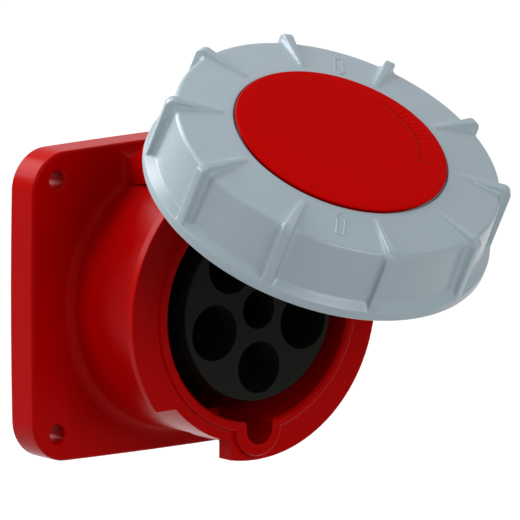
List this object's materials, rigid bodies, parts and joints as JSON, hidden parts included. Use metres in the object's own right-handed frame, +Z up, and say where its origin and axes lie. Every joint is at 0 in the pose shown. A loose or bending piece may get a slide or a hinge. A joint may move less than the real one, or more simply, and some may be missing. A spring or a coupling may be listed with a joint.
{
  "type": "industrial panel socket",
  "caption": "Red panel socket for an industrial pin-and-sleeve plug, square flange, round drum with bayonet collar, black contact insert and a hinged lid with a blue-grey turning ring.",
  "frame": {"origin": "centre of the flange's back face, on the socket's axis", "axes": "+Y into the panel, the socket faces -Y, +Z up, +X to the right seen from the front"},
  "size_m": [0.1132, 0.1643, 0.1307],
  "materials": {
    "housing_red": "semi-gloss moulded",
    "disc_red": "smooth gloss",
    "ring_grey": "fine matte moulded",
    "lid_grey": "fine matte moulded",
    "insert_black": "matte moulded",
    "block_black": "matte moulded",
    "contact_brass": "turned, plain",
    "screw_steel": "zinc plated",
    "spring_steel": "bright spring wire",
    "pin_steel": "stainless, ground",
    "seal_rubber": "soft matte",
    "washer_plastic": "slippery natural"
  },
  "bodies": {
    "socket_body": {"housing": "housing_red", "insert": "insert_black", "insert_seal": "seal_rubber", "terminal_block": "block_black", "contact_l1": "contact_brass", "contact_l2": "contact_brass", "contact_l3": "contact_brass", "contact_n": "contact_brass", "contact_e": "contact_brass", "contact_pilot": "contact_brass", "sleeve_springs": "spring_steel", "terminal_screws": "screw_steel", "insert_screws": "screw_steel", "flange_gasket": "seal_rubber", "hinge_pin": "pin_steel", "pin_clip": "spring_steel", "hinge_washers": "washer_plastic"},
    "lid_body": {"lid": "lid_grey", "lid_gasket": "seal_rubber", "lid_disc": "disc_red", "lid_screws": "screw_steel", "slide_washer": "washer_plastic"},
    "ring_body": {"bayonet_ring": "ring_grey"}
  },
  "joints": [
    {"name": "lid_hinge", "type": "hinge", "parent": "socket_body", "child": "lid_body", "pos_m": [0, -0.0291, 0.05099], "axis": [-1, 0, 0], "range_deg": [-59.5, 50.5]},
    {"name": "ring_turn", "type": "hinge", "parent": "lid_body", "child": "ring_body", "pos_m": [0, -0.09039, 0.05458], "axis": [0, 0.5075, -0.8616], "range_deg": [0, 120]}
  ]
}
